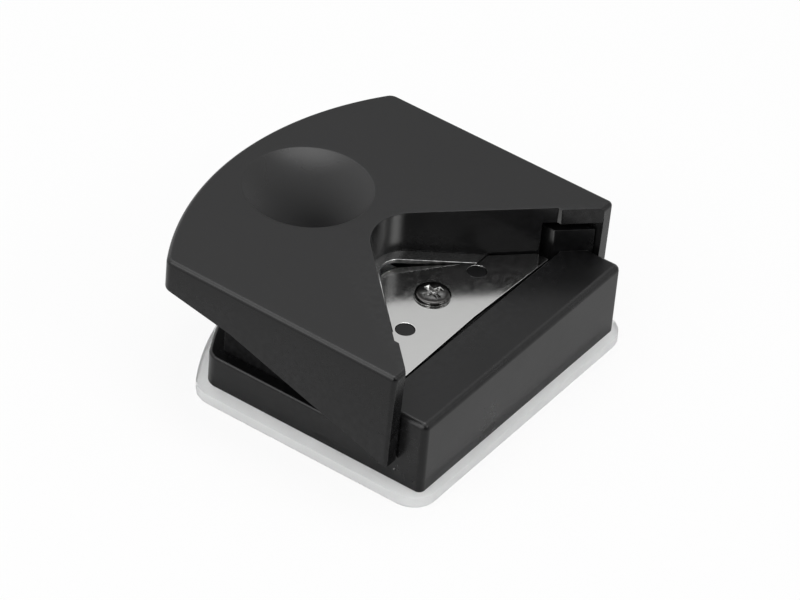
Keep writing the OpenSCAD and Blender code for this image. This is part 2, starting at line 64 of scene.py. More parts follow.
def takeUp(piece):
    dropAll()
    piece.select_set(True)
    bpy.context.view_layer.objects.active = piece


def editOn(piece):
    takeUp(piece)
    bpy.ops.object.mode_set(mode="EDIT")
    bpy.ops.mesh.select_mode(type="FACE")
    bpy.ops.mesh.select_all(action="DESELECT")


def editOff():
    bpy.ops.object.mode_set(mode="OBJECT")


# picks faces in object mode, so that the next edit finds them selected
def pickFaces(piece, wanted):
    editOff()
    for face in piece.data.polygons:
        face.select = wanted(face)
    bpy.ops.object.mode_set(mode="EDIT")


def applyAll(piece):
    takeUp(piece)
    for modifier in list(piece.modifiers):
        bpy.ops.object.modifier_apply(modifier=modifier.name)


# sets a turned or moved piece down with its place in its mesh
def settle(piece):
    takeUp(piece)
    bpy.ops.object.transform_apply(location=True, rotation=True, scale=True)


def mount(piece, body, slot, material, *nodes):
    piece.data.materials.clear()
    piece.data.materials.append(material)
    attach(piece, body)
    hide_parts(*nodes)


# gives a mounted piece a second material on some of its faces
def coatFaces(piece, material, wanted):
    piece.data.materials.append(material)
    for face in piece.data.polygons:
        if wanted(face):
            face.material_index = 1


# material helpers

def newMaterial(name):
    material = bpy.data.materials.new(name)
    material.use_nodes = True
    tree = material.node_tree
    return material, tree, tree.nodes["Principled BSDF"]


def addNode(tree, kind, **settings):
    node = tree.nodes.new(kind)
    for name, value in settings.items():
        setattr(node, name, value)
    return node


# a socket takes another node's output or a plain value
def feed(tree, socket, value):
    if isinstance(value, bpy.types.NodeSocket):
        tree.links.new(value, socket)
    else:
        socket.default_value = value


def feedAll(tree, node, values):
    for label, value in values.items():
        feed(tree, node.inputs[label], value)


def newGroup(name, inputs, outputs):
    group = bpy.data.node_groups.new(name, "ShaderNodeTree")
    for label, value in inputs.items():
        socket = group.interface.new_socket(label, in_out="INPUT", socket_type="NodeSocketFloat")
        socket.default_value = value
    for label in outputs:
        group.interface.new_socket(label, in_out="OUTPUT", socket_type="NodeSocketFloat")
    return group, group.nodes.new("NodeGroupInput"), group.nodes.new("NodeGroupOutput")


def useGroup(tree, group, **values):
    node = addNode(tree, "ShaderNodeGroup", node_tree=group)
    feedAll(tree, node, values)
    return node


def mathNode(tree, operation, first, second):
    node = addNode(tree, "ShaderNodeMath", operation=operation)
    feed(tree, node.inputs[0], first)
    feed(tree, node.inputs[1], second)
    return node.outputs[0]


def rangeNode(tree, value, fromMin, fromMax, toMin, toMax):
    node = addNode(tree, "ShaderNodeMapRange")
    limits = {"From Min": fromMin, "From Max": fromMax, "To Min": toMin, "To Max": toMax}
    feedAll(tree, node, dict(limits, Value=value))
    return node.outputs["Result"]


def noiseNode(tree, place, scale, detail, roughness=0.5):
    node = addNode(tree, "ShaderNodeTexNoise", noise_dimensions="3D")
    feedAll(tree, node, {"Vector": place, "Scale": scale, "Detail": detail, "Roughness": roughness})
    return node.outputs["Fac"]


def ownPlace(tree):
    return addNode(tree, "ShaderNodeTexCoord").outputs["Object"]


noiseSpread = (0.3, 0.7)  # where most of one noise lies
sumSpread = (0.7, 1.3)  # and most of two added up
wearSpread = (0.35, 0.7)  # from where the noise lets a rubbed edge show


# sparked mould grain: fine pips over slow patches of gloss
def makeMouldGrain():
    group, start, end = newGroup("mouldGrain", {"Pips": 3200.0, "Patches": 70.0}, ("Height", "Patch"))
    place = ownPlace(group)
    pips = noiseNode(group, place, start.outputs["Pips"], detail=3.0, roughness=0.62)
    patches = noiseNode(group, place, start.outputs["Patches"], detail=4.0)
    feedAll(group, end, {"Height": pips, "Patch": patches})
    return group


# rubbed edges: the piece's own edge attribute, broken up by noise; on the screws it also paints bright
# highlights along the edges
def makeWearAndGlintEdge():
    group, start, end = newGroup("wearAndGlintEdge", {"Amount": 0.5, "Grain": 900.0}, ("Mask",))
    wear = addNode(group, "ShaderNodeAttribute", attribute_name="edgeWearAndGlint")
    noise = noiseNode(group, ownPlace(group), start.outputs["Grain"], detail=5.0)
    broken = rangeNode(group, noise, *wearSpread, 0.0, 1.0)
    worn = mathNode(group, "MULTIPLY", wear.outputs["Fac"], broken)
    feed(group, end.inputs["Mask"], mathNode(group, "MULTIPLY", worn, start.outputs["Amount"]))
    return group


# rolled sheet: fine lines along one way over a cloudy blasted skin
def makeRolledSheet():
    inputs = {"Lines": 2600.0, "Clouds": 260.0}
    group, start, end = newGroup("rolledSheet", inputs, ("Line", "Cloud", "Height"))
    place = ownPlace(group)
    along = addNode(group, "ShaderNodeMapping")
    feedAll(group, along, {"Vector": place, "Scale": (0.04, 1.0, 1.0)})  # drawn out along X
    line = noiseNode(group, along.outputs["Vector"], start.outputs["Lines"], detail=2.0)
    cloud = noiseNode(group, place, start.outputs["Clouds"], detail=6.0, roughness=0.6)
    height = mathNode(group, "ADD", line, cloud)
    feedAll(group, end, {"Line": line, "Cloud": cloud, "Height": height})
    return group


mouldGrain = makeMouldGrain()
wearAndGlintEdge = makeWearAndGlintEdge()
rolledSheet = makeRolledSheet()

mixSocket = {"factor": 0, "first": 6, "second": 7, "result": 2}  # a mix node's colour sockets


def mixColours(tree, factor, first, second):
    mix = addNode(tree, "ShaderNodeMix", data_type="RGBA")
    feed(tree, mix.inputs[mixSocket["factor"]], factor)
    feed(tree, mix.inputs[mixSocket["first"]], first)
    feed(tree, mix.inputs[mixSocket["second"]], second)
    return mix.outputs[mixSocket["result"]]


# two tones by the cloudy pattern, and a third on rubbed edges, which on the screws is also a painted edge
# highlight
def threeTones(tree, pattern, wearAndGlint, look):
    tone = rangeNode(tree, pattern, *noiseSpread, 0.0, 1.0)
    clouded = mixColours(tree, tone, look["dark"], look["light"])
    return mixColours(tree, wearAndGlint, clouded, look["edge"])


def bumpFrom(tree, height, look):
    bump = addNode(tree, "ShaderNodeBump")
    feedAll(tree, bump, {"Height": height, "Strength": look["bump"], "Distance": look["bumpDepth"]})
    return bump.outputs["Normal"]


# rubbed edges are smoother by the look's polish
def polished(tree, gloss, wearAndGlint, look):
    return mathNode(tree, "SUBTRACT", gloss, mathNode(tree, "MULTIPLY", wearAndGlint, look["polish"]))


# the flat top is sparked rougher than the sides, the thumb dish in it is left smooth
def roughTop(tree, top):
    place = addNode(tree, "ShaderNodeTexCoord")
    away = addNode(tree, "ShaderNodeVectorMath", operation="DISTANCE")
    feed(tree, away.inputs[0], place.outputs["Object"])
    feed(tree, away.inputs[1], top["dish"])
    outside = rangeNode(tree, away.outputs["Value"], top["dishR"] - top["fade"], top["dishR"], 0.0, 1.0)
    parts = addNode(tree, "ShaderNodeSeparateXYZ")
    feed(tree, parts.inputs[0], place.outputs["Normal"])
    upward = rangeNode(tree, parts.outputs["Z"], *top["level"], 0.0, top["rougher"])
    return mathNode(tree, "MULTIPLY", upward, outside)


# black moulding: colour lifts a little on rubbed edges, gloss wanders in patches
def makeMoulding(name, look):
    material, tree, shader = newMaterial(name)
    grain = useGroup(tree, mouldGrain, Pips=look["pips"], Patches=look["patches"])
    wearAndGlint = useGroup(tree, wearAndGlintEdge, Amount=look["rub"]).outputs["Mask"]
    gloss = rangeNode(tree, grain.outputs["Patch"], *noiseSpread, *look["rough"])
    gloss = polished(tree, gloss, wearAndGlint, look)
    if "top" in look:
        gloss = mathNode(tree, "ADD", gloss, roughTop(tree, look["top"]))
    feedAll(tree, shader, {
        "Base Color": mixColours(tree, wearAndGlint, look["colour"], look["rubColour"]),
        "Roughness": gloss,
        "Normal": bumpFrom(tree, grain.outputs["Height"], look),
        "IOR": look["ior"],
    })
    return material


# bare steel: roughness and tone follow the rolling lines and the clouds
def makeSteel(name, look):
    material, tree, shader = newMaterial(name)
    sheet = useGroup(tree, rolledSheet, Lines=look["lines"], Clouds=look["clouds"])
    wearAndGlint = useGroup(tree, wearAndGlintEdge, Amount=look["rub"]).outputs["Mask"]
    both = mathNode(tree, "ADD", sheet.outputs["Line"], sheet.outputs["Cloud"])
    gloss = rangeNode(tree, both, *sumSpread, *look["rough"])
    feedAll(tree, shader, {
        "Base Color": threeTones(tree, sheet.outputs["Cloud"], wearAndGlint, look),
        "Roughness": polished(tree, gloss, wearAndGlint, look),
        "Normal": bumpFrom(tree, sheet.outputs["Height"], look),
        "Metallic": 1.0,
    })
    return material


# milky plastic: pale and half see-through, with faint flow marks
def makeMilky(name, look):
    material, tree, shader = newMaterial(name)
    grain = useGroup(tree, mouldGrain, Pips=look["pips"], Patches=look["patches"])
    wearAndGlint = useGroup(tree, wearAndGlintEdge, Amount=look["rub"]).outputs["Mask"]
    feedAll(tree, shader, {
        "Base Color": threeTones(tree, grain.outputs["Patch"], wearAndGlint, look),
        "Roughness": rangeNode(tree, grain.outputs["Patch"], *noiseSpread, *look["rough"]),
        "Normal": bumpFrom(tree, grain.outputs["Height"], look),
        "Subsurface Weight": look["see"],
        "Subsurface Radius": (1.0, 1.0, 1.0),
        "Subsurface Scale": look["seeDepth"],
        "Transmission Weight": look["through"],
        "IOR": look["ior"],
    })
    return material


baseLook = {
    "colour": (0.0036, 0.0036, 0.0038, 1), "rubColour": (0.02, 0.02, 0.021, 1),
    "rub": 0.5, "polish": 0.1, "rough": (0.27, 0.33), "ior": 1.385,
    "pips": 3200.0, "patches": 70.0, "bump": 0.2, "bumpDepth": 0.02 * mm,
}
# a rougher, less reflective copy of the base black: painted shade for the recessed walls under the lever
shadedRecessLook = dict(baseLook, rough=(0.7, 0.8), ior=1.2)
leverTop = {
    "dish": (0, 16.55 * mm, 25.4 * mm), "dishR": 11.65 * mm, "fade": 0.2 * mm,
    "level": (0.95, 0.985), "rougher": 0.24,
}
leverLook = dict(
    baseLook, colour=(0.004, 0.004, 0.0042, 1), rough=(0.24, 0.3), patches=55.0, top=leverTop
)
dieLook = {
    "dark": (0.78, 0.78, 0.77, 1), "light": (0.82, 0.82, 0.81, 1), "edge": (0.82, 0.82, 0.81, 1),
    "rub": 0.8, "polish": 0.1, "rough": (0.16, 0.2),
    "lines": 3400.0, "clouds": 5200.0, "bump": 0.04, "bumpDepth": 0.01 * mm,
}
bladeLook = dict(
    dieLook, dark=(0.36, 0.36, 0.36, 1), light=(0.4, 0.4, 0.4, 1),
    rough=(0.18, 0.24), rub=1.0, polish=0.12,
)
# near-black steel for the blade's front flank: painted shadow under the blade's edge
flankShadowLook = dict(
    bladeLook, dark=(0.05, 0.05, 0.05, 1), light=(0.09, 0.09, 0.09, 1), rough=(0.35, 0.5), rub=0.3
)
# the screw keeps the die's near-white edge tone: its dark head gets bright edges around the cross recess,
# partly worn plating and partly painted highlights
screwWearAndGlintLook = dict(
    dieLook, dark=(0.04, 0.039, 0.038, 1), light=(0.06, 0.059, 0.057, 1),
    rough=(0.12, 0.18), clouds=2400.0, bump=0.15,
)
springLook = dict(
    dieLook, dark=(0.4, 0.4, 0.4, 1), light=(0.55, 0.55, 0.55, 1), rough=(0.25, 0.4), clouds=700.0
)
trayLook = {
    "dark": (0.835, 0.84, 0.84, 1), "light": (0.885, 0.89, 0.89, 1), "edge": (0.915, 0.92, 0.92, 1),
    "rub": 0.4, "rough": (0.38, 0.5), "see": 0.8, "seeDepth": 2 * mm, "through": 0.6, "ior": 1.12,
    "pips": 2200.0, "patches": 90.0, "bump": 0.18, "bumpDepth": 0.02 * mm,
}
trayInnerLook = dict(trayLook, through=0.0, ior=1.45)

blackBase = makeMoulding("blackBase", baseLook)
blackShadedRecess = makeMoulding("blackShadedRecess", shadedRecessLook)
blackLever = makeMoulding("blackLever", leverLook)
dieSteel = makeSteel("dieSteel", dieLook)
bladeSteel = makeSteel("bladeSteel", bladeLook)
bladeFlankShadow = makeSteel("bladeFlankShadow", flankShadowLook)
screwNickel = makeSteel("screwNickel", screwWearAndGlintLook)
springWire = makeSteel("springWire", springLook)
milkyTray = makeMilky("milkyTray", trayLook)
milkyInner = makeMilky("milkyInner", trayInnerLook)
print("materials made:", len(bpy.data.materials))


# mesh helpers

def facesByEdge(mesh):
    found = {}
    for face in mesh.polygons:
        for key in face.edge_keys:
            found.setdefault(key, []).append(face)
    return found


def bendBetween(faces):
    return faces[0].normal.angle(faces[1].normal, 0.0) if len(faces) == 2 else 0.0


# marks how sharply each corner of the mesh turns, for the rubbed edges and the painted edge highlights
def markWearAndGlint(piece, fromAngle, toAngle):
    mesh = piece.data
    turn = [0.0] * len(mesh.vertices)
    for key, faces in facesByEdge(mesh).items():
        bend = bendBetween(faces)
        for corner in key:
            turn[corner] = max(turn[corner], bend)
    wear = mesh.attributes.new("edgeWearAndGlint", "FLOAT", "POINT")
    low, high = radians(fromAngle), radians(toAngle)
    for corner, bend in enumerate(turn):
        wear.data[corner].value = min(max((bend - low) / (high - low), 0.0), 1.0)


mending = {"weld": 0.002 * mm, "flatTo": 0.4}


# copy of a CAD node with its flat facets put back together
def copyNode(node, name):
    mesh = frame["nodes"][node].data.copy()
    mesh.materials.clear()
    piece = bpy.data.objects.new(name, mesh)
    scene.collection.objects.link(piece)
    takeUp(piece)
    bpy.ops.mesh.customdata_custom_splitnormals_clear()
    editOn(piece)
    bpy.ops.mesh.select_all(action="SELECT")
    bpy.ops.mesh.remove_doubles(threshold=mending["weld"])
    bpy.ops.mesh.dissolve_limited(angle_limit=radians(mending["flatTo"]), delimit=set())
    editOff()
    return piece


rounding = {
    "besideSharp": 0.4, "besideFlat": 0.85,  # how much of the room up to the next edge is used
    "leastSlant": 0.3, "leastShare": 0.15,  # edges that run on are passed over, thin rounds left out
    "spots": (0.02, 0.25, 0.5, 0.75, 0.98),  # where along an edge the room is measured
    "runsOn": 140, "wear": (8, 30),  # degrees
}
moulded = {"width": 0.14 * mm, "segments": 3, "fromAngle": 32, "smoothTo": 35}
shellEdge = dict(moulded, width=0.35 * mm)
sheetEdge = {"width": 0.07 * mm, "segments": 2, "fromAngle": 40, "smoothTo": 35}


# how wide an edge can be rounded before it meets another edge of its faces
def roomBeside(mesh, line, faces, sharp):
    start, end = (mesh.vertices[corner].co for corner in line)
    along = (end - start).normalized()
    room = 1.0
    for face in faces:
        for key in face.edge_keys:
            if key == line:
                continue
            first, second = (mesh.vertices[corner].co for corner in key)
            part = rounding["besideSharp"] if key in sharp else rounding["besideFlat"]
            if set(key) & set(line):
                reach = along.cross(second - first).length
                if reach > rounding["leastSlant"] * (second - first).length:
                    room = min(room, part * reach)
                continue
            for step in rounding["spots"]:
                spot = start.lerp(end, step)
                where = intersect_point_line(spot, first, second)[1]
                nearest = first.lerp(second, min(max(where, 0.0), 1.0))
                room = min(room, part * (nearest - spot).length)
    return room


# the way an edge leaves one of its corners
def wayFrom(mesh, corner, key):
    return mesh.vertices[key[0] + key[1] - corner].co - mesh.vertices[corner].co


# gives edges that run on into each other the smallest share of their run
def evenRuns(mesh, parts):
    linesAt = {}
    for key in parts:
        for corner in key:
            linesAt.setdefault(corner, []).append(key)
    done = set()
    for seed in sorted(parts, key=parts.get):
        if seed in done:
            continue
        run = [seed]
        done.add(seed)
        while run:
            key = run.pop()
            parts[key] = parts[seed]
            for corner in key:
                away = wayFrom(mesh, corner, key)
                for other in linesAt[corner]:
                    onward = wayFrom(mesh, corner, other)
                    if other not in done and away.angle(onward) > radians(rounding["runsOn"]):
                        done.add(other)
                        run.append(other)


# rounds every edge that turns by more than fromAngle; share gives an edge its part of the width
def softenEdges(piece, edge, share=None):
    mesh = piece.data
    facesOfEdge = facesByEdge(mesh)
    sharp = {
        key for key, faces in facesOfEdge.items()
        if bendBetween(faces) > radians(edge["fromAngle"])
    }
    parts = {}
    for key in sharp:
        part = share(*(mesh.vertices[corner].co for corner in key)) if share else 1.0
        room = roomBeside(mesh, key, facesOfEdge[key], sharp) / edge["width"]
        parts[key] = min(part, room) if room > rounding["leastShare"] else 0.0
    evenRuns(mesh, parts)
    weights = mesh.attributes.new("bevel_weight_edge", "FLOAT", "EDGE")
    for line in mesh.edges:
        weights.data[line.index].value = parts.get(line.key, 0.0)
    bevel = piece.modifiers.new("softEdges", "BEVEL")
    bevel.width = edge["width"]
    bevel.segments = edge["segments"]
    bevel.limit_method = "WEIGHT"
    bevel.use_clamp_overlap = False
    applyAll(piece)
    markWearAndGlint(piece, *rounding["wear"])
    takeUp(piece)
    bpy.ops.object.shade_smooth_by_angle(angle=radians(edge["smoothTo"]))
    even = piece.modifiers.new("evenNormals", "WEIGHTED_NORMAL")
    even.keep_sharp = True
    applyAll(piece)


uprightEdge = {"lean": 0.9, "least": 1.5 * mm}


# true for an upright edge whose middle lies in ranges of |x|, y and z, given in millimetres
def uprightIn(first, second, ranges):
    rise = abs(first.z - second.z)
    if rise <= max(uprightEdge["lean"] * (first - second).length, uprightEdge["least"]):
        return False
    middle = (first + second) / 2 / mm
    place = (abs(middle.x), middle.y, middle.z)
    return all(low < value < high for value, (low, high) in zip(place, ranges))


# base: the hinge posts have rounder upright edges; the walls that the lever covers get a rougher, less
# reflective copy of the black, painted shade in the recess under the lever
baseSize = {
    "posts": ((23, 30), (-30, -15), (17, 22)), "plainShare": 0.4,
    "coveredFrom": -17 * mm, "coveredAbove": 8.9 * mm, "wallTilt": 0.3,
}


def baseShare(first, second):
    return 1.0 if uprightIn(first, second, baseSize["posts"]) else baseSize["plainShare"]


def isCovered(face):
    upright = abs(face.normal.z) < baseSize["wallTilt"]
    behind = face.center.y > baseSize["coveredFrom"]
    return upright and behind and face.center.z > baseSize["coveredAbove"]


baseShell = copyNode("base_body", "baseShell")
softenEdges(baseShell, shellEdge, baseShare)
mount(baseShell, "base", "body_plastic", blackBase, "base_body")
coatFaces(baseShell, blackShadedRecess, isCovered)

# lever: the ends of the notch walls and the fronts of the ears are rounder than its other edges
leverSize = {
    "wallEnds": ((22, 23), (-20, -15), (17, 24)), "earFronts": ((29, 33), (-26, -24), (10, 26)),
    "plainShare": 0.4, "fromAngle": 16.6,
}


def leverShare(first, second):
    wallEnd = uprightIn(first, second, leverSize["wallEnds"])
    earFront = uprightIn(first, second, leverSize["earFronts"])
    return 1.0 if wallEnd or earFront else leverSize["plainShare"]


leverShell = copyNode("press_lever", "leverShell")
softenEdges(leverShell, dict(shellEdge, fromAngle=leverSize["fromAngle"]), leverShare)
mount(leverShell, "lever", "lever_plastic", blackLever, "press_lever")

# tray: light passes through the rim only, the chip chamber inside stays closed to it
traySize = {"innerX": 27 * mm, "innerFront": -28 * mm, "innerBack": 23 * mm, "floorLow": 0.3 * mm}


def isInner(face):
    spots = [trayShell.data.vertices[corner].co for corner in face.vertices]
    return all(
        spot.z > traySize["floorLow"] and abs(spot.x) < traySize["innerX"]
        and traySize["innerFront"] < spot.y < traySize["innerBack"]
        for spot in spots
    )


trayShell = copyNode("waste_tray", "trayShell")
softenEdges(trayShell, moulded)
mount(trayShell, "tray", "tray_plastic", milkyTray, "waste_tray")
coatFaces(trayShell, milkyInner, isInner)

# die plate: the slots beside the blade's legs stay sharp
dieSize = {"slotFrom": -11.5 * mm, "slotBeside": 12.4 * mm}


def dieShare(first, second):
    behind = min(first.y, second.y) > dieSize["slotFrom"]
    beside = max(abs(first.x), abs(second.x)) > dieSize["slotBeside"]
    return 0.0 if behind and beside else 1.0


diePlate = copyNode("die_plate", "diePlate")
softenEdges(diePlate, sheetEdge, dieShare)
mount(diePlate, "base", "die_steel", dieSteel, "die_plate")

# blade: its long edges are ground and its leg ends sheared; its front flank is painted near-black, a
# painted shadow under its edge
bladeSize = {"soft": 0.13 * mm, "segments": 3, "shearedTo": -11 * mm, "flankFront": -0.3, "flankTilt": 0.35}


def bladeShare(first, second):
    return 0.0 if max(first.y, second.y) < bladeSize["shearedTo"] else 1.0


def isFlank(face):
    return face.normal.y < bladeSize["flankFront"] and abs(face.normal.z) < bladeSize["flankTilt"]


cutterBlade = copyNode("punch_blade", "cutterBlade")
bladeEdge = dict(sheetEdge, width=bladeSize["soft"], segments=bladeSize["segments"])
softenEdges(cutterBlade, bladeEdge, bladeShare)
mount(cutterBlade, "lever", "blade_steel", bladeSteel, "punch_blade")
coatFaces(cutterBlade, bladeFlankShadow, isFlank)
print("shells and plates made")


# pan screws
screwForm = {"sides": 64, "rings": 10, "taper": 0.62, "facing": 0.9, "fromAngle": 36}


# the flat end of a turned piece that faces up (1) or down (-1)
def isEnd(face, way):
    return way * face.normal.z > screwForm["facing"] and len(face.vertices) == screwForm["sides"]


# tapered cross recess, two crossed bars cut down from the top of the head
def cutCross(screw, size):
    for turn in (0, 90):
        dropAll()
        bpy.ops.mesh.primitive_cube_add(size=1, location=(0, 0, size["headH"]))
        cutter = bpy.context.active_object
        cutter.scale = (size["slotL"], size["slotW"], 2 * size["slotD"])
        cutter.rotation_euler = (0, 0, radians(turn + size["turn"]))
        settle(cutter)
        editOn(cutter)
        pickFaces(cutter, lambda face: -face.normal.z > screwForm["facing"])
        narrow = (screwForm["taper"], screwForm["taper"], 1)
        bpy.ops.transform.resize(value=narrow, center_override=(0, 0, 0))
        editOff()
        cut = screw.modifiers.new("crossCut", "BOOLEAN")
        cut.operation = "DIFFERENCE"
        cut.solver = "EXACT"
        cut.object = cutter
        applyAll(screw)
        bpy.data.objects.remove(cutter)


# head up from the origin, shank down from it
def makePanScrew(name, size):
    headR = size["headD"] / 2
    dropAll()
    bpy.ops.mesh.primitive_cylinder_add(
        vertices=screwForm["sides"], radius=headR, depth=size["rimH"], location=(0, 0, size["rimH"] / 2)
    )
    screw = bpy.context.active_object
    screw.name = name
    settle(screw)
    editOn(screw)
    radius, height = headR, 0.0
    for ring in range(1, screwForm["rings"] + 1):
        turn = radians(90 * ring / screwForm["rings"])
        nextRadius = headR - size["crown"] * headR * (1 - cos(turn))
        nextHeight = (size["headH"] - size["rimH"]) * sin(turn)
        pickFaces(screw, lambda face: isEnd(face, 1))
        bpy.ops.mesh.inset(thickness=radius - nextRadius, depth=nextHeight - height)
        radius, height = nextRadius, nextHeight
    pickFaces(screw, lambda face: isEnd(face, -1))
    bpy.ops.mesh.inset(thickness=(size["headD"] - size["shankD"]) / 2)
    bpy.ops.mesh.extrude_region_move(TRANSFORM_OT_translate={"value": (0, 0, -size["length"])})
    editOff()
    cutCross(screw, size)
    softenEdges(screw, dict(sheetEdge, width=size["soft"], fromAngle=screwForm["fromAngle"]))
    return screw


plateScrewSize = {
    "headD": 6.5 * mm, "headH": 0.8 * mm, "rimH": 0.3 * mm, "crown": 0.2,
    "shankD": 2.9 * mm, "length": 7 * mm, "seat": 1.5 * mm, "soft": 0.05 * mm,
    "slotL": 4.6 * mm, "slotW": 1.25 * mm, "slotD": 0.65 * mm, "turn": 70,
}
plateScrew = makePanScrew("plateScrew", plateScrewSize)
low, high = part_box("plate_screw")
plateScrew.location = ((low.x + high.x) / 2, (low.y + high.y) / 2, high.z - plateScrewSize["seat"])
settle(plateScrew)
mount(plateScrew, "base", "screw_steel", screwNickel, "plate_screw")

# the blade screws hang head down under the blade, which is lifted about the hinge at rest
bladeScrewSize = {
    "headD": 4 * mm, "headH": 1.2 * mm, "rimH": 0.42 * mm, "crown": 0.6,
    "shankD": 2 * mm, "length": 4.6 * mm, "soft": 0.03 * mm,
    "slotL": 2.3 * mm, "slotW": 0.7 * mm, "slotD": 0.6 * mm, "turn": 10,
}
# seats of their heads under the level blade, in millimetres
bladeSeats = {"left": (-15.85, -5.203, 14.75), "right": (15.85, -5.203, 14.75), "rear": (0, 6.513, 14.75)}
leverHinge = next(joint for joint in frame["joints"] if joint["name"] == "lever_hinge")
hinge = Vector(leverHinge["pos_m"])
stroke = radians(leverHinge["range_deg"][1])
lift = Euler((stroke, 0, 0)).to_matrix()
for side, seat in bladeSeats.items():
    screw = makePanScrew("bladeScrew" + side.capitalize(), bladeScrewSize)
    screw.rotation_euler = (radians(180) + stroke, 0, 0)
    screw.location = hinge + lift @ (Vector(seat) * mm - hinge)
    settle(screw)
    mount(screw, "lever", "screw_steel", screwNickel, "blade_screw_" + side)
print("screws made")


# return spring: closed coil, open turns, closed coil
springSize = {
    "outerD": 8 * mm, "wireD": 0.9 * mm, "openTurns": 6, "closedPitch": 1.04, "keep": 0.56,
    "wireSides": 12, "turnSteps": 40, "weld": 0.003 * mm, "wear": (30, 60), "smoothTo": 40,
}


# one stretch of the coil, wound about the Z axis
def makeCoil(size, turns, rise, bottom):
    wireR = size["wireD"] / 2
    dropAll()
    bpy.ops.mesh.primitive_circle_add(
        vertices=size["wireSides"], radius=wireR,
        location=(size["outerD"] / 2 - wireR, 0, bottom), rotation=(radians(90), 0, 0),
    )
    length = bpy.context.active_object
    settle(length)
    coil = length.modifiers.new("coil", "SCREW")
    coil.axis = "Z"
    coil.angle = radians(360 * turns)
    coil.screw_offset = rise
    coil.steps = size["turnSteps"] * turns
    coil.render_steps = size["turnSteps"] * turns
    coil.use_merge_vertices = False
    applyAll(length)
    return length


def makeSpring(name, size):
    low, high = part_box("return_spring")
    centreX, centreY = (low.x + high.x) / 2, (low.y + high.y) / 2
    closedRise = size["wireD"] * size["closedPitch"]
    openRise = high.z - low.z - size["wireD"] - 2 * closedRise
    bottom = low.z + size["wireD"] / 2
    lengths = []
    for turns, rise in ((1, closedRise), (size["openTurns"], openRise), (1, closedRise)):
        lengths.append(makeCoil(size, turns, rise, bottom))
        bottom += rise
    dropAll()
    for length in lengths:
        length.select_set(True)
    bpy.context.view_layer.objects.active = lengths[0]
    bpy.ops.object.join()
    spring = bpy.context.active_object
    spring.name = name
    spring.location = (centreX, centreY, 0)
    settle(spring)
    editOn(spring)
    bpy.ops.mesh.select_all(action="SELECT")
    bpy.ops.mesh.remove_doubles(threshold=size["weld"])
    bpy.ops.mesh.select_mode(type="EDGE")
    bpy.ops.mesh.select_all(action="DESELECT")
    bpy.ops.mesh.select_non_manifold()  # the two open wire ends
    bpy.ops.mesh.edge_face_add()
    bpy.ops.mesh.select_all(action="SELECT")
    bpy.ops.mesh.normals_make_consistent(inside=False)
    editOff()
    markWearAndGlint(spring, *size["wear"])
    bpy.ops.object.shade_smooth_by_angle(angle=radians(size["smoothTo"]))
    mount(spring, "base", "spring_steel", springWire, "return_spring")
    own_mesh(spring)
    return spring


returnSpring = makeSpring("returnSpring", springSize)
print("spring made:", len(returnSpring.data.polygons), "faces")

# the two pins keep their CAD shape
for node in ("hinge_pin_left", "hinge_pin_right"):
    pin = frame["nodes"][node]
    pin.data.materials.clear()
    pin.data.materials.append(screwNickel)


# pale floor and white surround

def seesBackground(tree):
    path = addNode(tree, "ShaderNodeLightPath")
    mask = mathNode(tree, "MAXIMUM", path.outputs["Is Camera Ray"], path.outputs["Is Glossy Ray"])
    return mathNode(tree, "MAXIMUM", mask, path.outputs["Is Transmission Ray"])


# shows the second of two shaders as far as the share goes
def mixShaders(tree, share, first, second, end):
    mix = addNode(tree, "ShaderNodeMixShader")
    for socket, value in zip(mix.inputs, (share, first.outputs[0], second.outputs[0])):
        feed(tree, socket, value)
    feed(tree, tree.nodes[end].inputs["Surface"], mix.outputs[0])


floorLook = {
    "size": 6, "drop": 0.02 * mm, "colour": (0.88, 0.88, 0.88, 1), "rough": 0.9, "specular": 0.1,
    "mirrored": 0.75, "whitened": 0.9,
}


def makeFloor(look):
    dropAll()
    bpy.ops.mesh.primitive_plane_add(size=look["size"], location=(0, 0, -look["drop"]))
    floor = bpy.context.active_object
    floor.name = "paleFloor"
    material, tree, shader = newMaterial("paleFloor")
    feedAll(tree, shader, {
        "Base Color": look["colour"], "Roughness": look["rough"], "Specular IOR Level": look["specular"],
    })
    white = addNode(tree, "ShaderNodeEmission")
    path = addNode(tree, "ShaderNodeLightPath")
    dulled = mathNode(tree, "MULTIPLY", path.outputs["Is Glossy Ray"], look["mirrored"])
    seen = mathNode(tree, "MAXIMUM", path.outputs["Is Camera Ray"], path.outputs["Is Transmission Ray"])
    feed(tree, white.inputs["Strength"], mathNode(tree, "MAXIMUM", seen, dulled))
    share = mathNode(tree, "MULTIPLY", seesBackground(tree), look["whitened"])
    mixShaders(tree, share, shader, white, "Material Output")
    floor.data.materials.append(material)


# white backdrop; reflections see it shade off to the horizon and to the room in front, as a studio
# sweep does, with a glow on either side; a range holds two heights or turns and the strength at each
skyLook = {
    "white": (1, 1, 1, 1), "fill": 0.33, "sweep": (0.0, 0.765, 0.0, 1.0), "sweepPower": 2.4,
    "front": (-0.84, -0.54, 0), "frontDim": (0.0, 0.6, 1.0, 0.35),
    "left": (-0.542, 0.84, 0), "leftGlow": (0.08, 0.45, 0.0, 1.1),
    "across": (0.542, -0.84, 0), "acrossGlow": (0.12, 0.6, 0.0, 0.8), "acrossFar": (-0.72, -0.5, 1.0, 0.0),
    "right": (0.9, -0.44, 0), "rightGlow": (0.45, 0.85, 0.0, 0.65), "rightLow": (0.4, 0.62, 1.0, 0.0),
}


# how far the sky's own direction points along a given one
def alongWay(tree, way, direction):
    node = addNode(tree, "ShaderNodeVectorMath", operation="DOT_PRODUCT")
    feed(tree, node.inputs[0], way)
    feed(tree, node.inputs[1], direction)
    return node.outputs["Value"]


